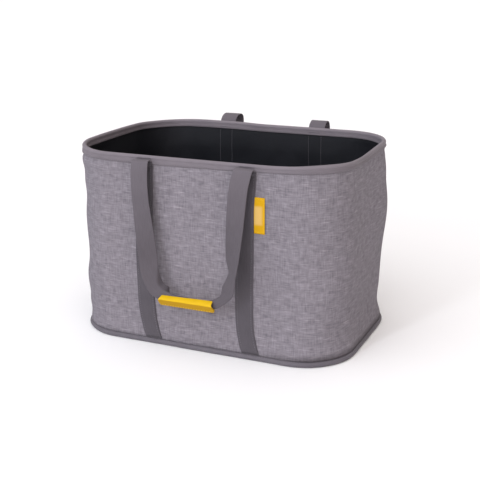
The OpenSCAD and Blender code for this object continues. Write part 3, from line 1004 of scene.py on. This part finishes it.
def fold_arch(side, name):
    """The webbing's middle line from the rim tape, over the fold, to the top of the leg."""
    x = strap_centre(side, name, STRAP_HEAD)
    if side == FRONT:
        start = np.array(strap_frame(side, name, FRONT_LEAVE, STRAP_MID)[0])
        r = (abs(handle_point(side, x, 0, DEPTH[side])[1]) - abs(start[1])) / 2
        turn = np.linspace(0, math.pi, 14)
        rise = FRONT_CREST - start[2]
        y = abs(start[1]) + r - r * np.cos(turn)
        xs = np.linspace(x, LEGS[side][name][0][0] * MM, 14)
        return np.column_stack([xs, side * y, start[2] + rise * np.sin(turn)])
    # The back left fold stands up in a bigger loop
    more = 9.5 * MM if name == "left" else 0
    start = np.array(strap_frame(side, name, TAPE_BOTTOM + 2 * MM, STRAP_MID)[0])
    points = [(start[1], start[2]), (178.4 * MM, 350 * MM), (184 * MM, 360 * MM + more / 4),
              (196 * MM + more / 3, 366 * MM + more / 4), (207 * MM + more, 363 * MM + more / 4),
              (212 * MM + more, 353 * MM), (212.6 * MM + more / 2, 343 * MM)]
    line = line_through(points, 26)
    return np.column_stack([np.full(26, x), line])


def handle_path(side):
    """Centres, directions to the inner edge and to the outer face, and drops along a handle."""
    legs = []
    for name, hand in (("left", 1), ("right", -1)):
        arch = fold_arch(side, name)
        leg = line_through(np.array(LEGS[side][name]) * MM, 46)[COVERED[side]:]
        hung = [handle_point(side, x, d, DEPTH[side]) for x, d in leg]
        drop = np.concatenate([np.zeros(len(arch)), leg[:, 1]])
        turn = np.radians(np.interp(drop / MM, *FRONT_TWIST[name])) * hand * (side == FRONT)
        legs.append(np.column_stack([np.concatenate([arch, hung]), drop, turn])[::hand])
    inside_grip = np.linspace(-24 * MM, 24 * MM, 9)
    middle = [(*handle_point(side, x, HANDLE_DROP, DEPTH[side]), HANDLE_DROP, 0) for x in inside_grip]
    path = np.concatenate([legs[0], middle, legs[1]])
    centre, drops, twist = path[:, :3], path[:, 3], path[:, 4]
    for _ in range(2):
        centre[1:-1] = (centre[:-2] + 2 * centre[1:-1] + centre[2:]) / 4
    along = unit(np.gradient(centre, axis=0))
    out = np.array([0, side * math.cos(HANG[side]), math.sin(HANG[side])])
    across = np.cross(along, out) * side
    across[:len(arch)], across[-len(arch):] = (1, 0, 0), (-1, 0, 0)
    across = unit(across)
    facing = unit(np.cross(along, across) * -side)
    c, s = np.cos(twist)[:, None], np.sin(twist)[:, None]
    across, facing = across * c + facing * s, facing * c - across * s
    return centre, across, facing, drops


def handle_webbing(side):
    centre, across, facing, drops = handle_path(side)
    # The inner edge turns back, and the crease runs in to the middle before the webbing enters the
    # grip. It starts higher on the front left leg, the early one.
    early = (np.arange(len(drops)) < len(drops) / 2) & (side == FRONT)

    def past(low, high):
        return smooth(drops, low, high)

    early_fold = 55 * past(174 * MM, 202 * MM) + 125 * past(228 * MM, HANDLE_DROP)
    fold = np.where(early, early_fold, 180 * past(203 * MM, 233 * MM))
    crease = STRAP_W / 2 * (1 - np.where(early, past(172 * MM, 232 * MM), past(200 * MM, 229 * MM)))
    width = STRAP_W * (1 - np.where(early, 0, 0.15 * past(203 * MM, 226 * MM)))
    shift = width / 4 * np.where(early, past(218 * MM, HANDLE_DROP), past(206 * MM, 232 * MM))
    word = WORD[side]
    made = ribbon(word + "_webbing", centre + across * shift[:, None], across, facing, width, STRAP_T,
                  WEBBING, fold=np.radians(fold), crease=crease)
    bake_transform(made)
    stand_for(made, "webbing", word + "_handle_webbing")


def grip(side):
    """A leather sleeve folded round the doubled webbing: it has a crease along its face, and its
    lower edges are sewn together."""
    word, depth = WORD[side], DEPTH[side]
    profile = np.array([(-9.4, 0.8), (-6, 2.9), (-2, 4.9), (2.3, 6.9), (4.2, 6.1), (6.8, 3.6), (8.7, 0),
                        (7.4, -2.6), (5, -4.2), (0, -5.2), (-6, -4.0), (-9.4, -0.9)]) * MM
    line = line_through(profile, 44)
    section = thick_line(line, 1.5 * MM)
    rows = []
    stations = np.linspace(-1, 1, 41)
    for s in stations:
        x = s * GRIP_LEN / 2
        end = smooth(abs(s), 0.86, 1)
        height, out = section[:, 0], section[:, 1]
        # The left end comes to a blunt point, and the lower half of the right end's face reaches
        # furthest
        if s < 0:
            reach = (0.42 * abs(height + 1 * MM) + 0.08 * (height + 1 * MM) - 0.3 * MM) * end
        else:
            lobe = 5 * MM * smooth(4.3 * MM - height, 0, 9 * MM)
            behind = 3.6 * MM * smooth(1.5 * MM - out, 0, 4 * MM)
            reach = (lobe - 4.4 * MM - 2.2 * MM * smooth(-height, 6.5 * MM, 9.4 * MM) - behind) * end
        puff = 1 + 0.05 * math.sin(9 * s) + 0.1 * end
        # The sleeve is a little taller towards its right end
        height = np.where(height > 0, height * (1 + 0.13 * s), height)
        rows.append([handle_point(side, x + r, HANDLE_DROP - h, depth + d * puff)
                     for r, h, d in zip(reach, height, out)])
    v = lengths(np.concatenate([section, section[:1]]))
    made = swept(word + "_sleeve", np.array(rows), stations * GRIP_LEN / 2, v, LEATHER, False)
    stand_for(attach(made, word + "_handle"), "yellow_grip", word + "_grip")
    xs = np.linspace(-GRIP_LEN / 2 + 6 * MM, GRIP_LEN / 2 - 6 * MM, 30)
    rows = []
    for face in (1, -1):
        points = [handle_point(side, x, HANDLE_DROP + 7.6 * MM, depth + face * 3.6 * MM) for x in xs]
        away = handle_point(side, 0, 0, face) - handle_point(side, 0, 0, 0)
        rows.append(stitch_row(points, away, 5 * MM, 3.8 * MM, 0.6 * MM))
    made = stitching(word + "_grip_seam", rows, YELLOW_THREAD)
    stand_for(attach(made, word + "_handle"), "yellow_thread", word + "_grip_stitching")


# ---- CAD nodes that keep their shape ----


def dress_cad_nodes():
    for node, finish in (("base_wire", STEEL), ("rim_wire_ferrule", CRIMP),
                         ("base_wire_ferrule", CRIMP), ("base_board", BOARD)):
        for slot in frame["nodes"][node].material_slots:
            slot.material = finish


# ---- Camera and studio ----


def camera():
    azimuth, elevation, roll = (math.radians(a) for a in (24.2487, 16.7074, -0.3856))
    distance, sideways, height = 1781.8 * MM, 8.75 * MM, 160.76 * MM
    back = Vector((math.sin(azimuth) * math.cos(elevation), -math.cos(azimuth) * math.cos(elevation),
                   math.sin(elevation)))
    right = Vector((math.cos(azimuth), math.sin(azimuth), 0))
    up = back.cross(right)
    aim = right * sideways + Vector((0, 0, height))
    turned = right * math.cos(roll) + up * math.sin(roll)
    raised = up * math.cos(roll) - right * math.sin(roll)
    data = bpy.data.cameras.new("camera")
    data.lens, data.sensor_width = 69.82, 36
    made = placed("camera", data)
    turn = Matrix((turned, raised, back)).transposed().to_4x4()
    made.matrix_world = Matrix.Translation(aim + back * distance) @ turn
    bpy.context.scene.camera = made


def key_lamp():
    """A small soft lamp in front, high and a little cool."""
    data = bpy.data.lights.new("key", "AREA")
    data.shape, data.size, data.energy, data.color = "DISK", 0.5, 34, (0.93, 0.97, 1.06)
    made = placed("key", data)
    made.location = (-0.9, -3.8, 2.0)
    made.rotation_euler = (Vector((0, 0, 0.2)) - made.location).to_track_quat("-Z", "Y").to_euler()


def studio():
    """A sky that is brightest in front and dim on the right, where it is warmer, and a pale floor."""
    world = bpy.data.worlds.new("studio")
    world.use_nodes = True
    tree = world.node_tree
    sky = add(tree, "ShaderNodeTexCoord").outputs["Generated"]
    x, y, z = axes(tree, sky)
    lean = add(tree, "ShaderNodeVectorMath", {0: sky, 1: (-0.12, -0.79, 0.5)}, operation="DOT_PRODUCT")
    waist = maths(tree, "SUBTRACT", maths(tree, "MULTIPLY", y, y), maths(tree, "MULTIPLY", x, x))
    level = maths(tree, "ADD", maths(tree, "MULTIPLY_ADD", waist, 0.54, lean.outputs["Value"]), 0.8)
    warm = add(tree, "ShaderNodeVectorMath", {0: sky, 1: (0.45, 0.25, 0)}, operation="DOT_PRODUCT")
    warmth = maths(tree, "ADD", warm.outputs["Value"], 0.5)
    tint = mixed(tree, warmth, (0.95, 0.99, 1.06, 1), (1.09, 0.97, 0.9, 1))
    horizon = spread(tree, maths(tree, "ABSOLUTE", z), 0.008, 0.016, 1.0, 0.05)
    tree.links.new(maths(tree, "MAXIMUM", level, horizon), tree.nodes["Background"].inputs["Strength"])
    tree.links.new(tint, tree.nodes["Background"].inputs["Color"])
    bpy.context.scene.world = world
    paper, tree, shader = material("backdrop", 0.9, specular=0.1)
    grain = noise(tree, object_place(tree), (3, 3, 3), 2)
    colour = mixed(tree, grain, (0.92, 0.92, 0.92, 1), (0.935, 0.935, 0.935, 1))
    tree.links.new(colour, shader.inputs["Base Color"])
    size = 200.0
    corners = [(-size, -size, 0), (size, -size, 0), (size, size, 0), (-size, size, 0)]
    new_mesh("floor", corners, [(0, 1, 2, 3)], [(0, 0)] * 4, paper)
    bpy.context.scene.view_settings.view_transform = "Standard"


camera()
studio()
key_lamp()
build_walls()
rim_binding()
rim_wire()
rim_stitching()
base_binding()
base_stitching()
build_base_panels()
build_straps()
build_label()
for handle_side in (FRONT, BACK):
    handle_webbing(handle_side)
    grip(handle_side)
dress_cad_nodes()
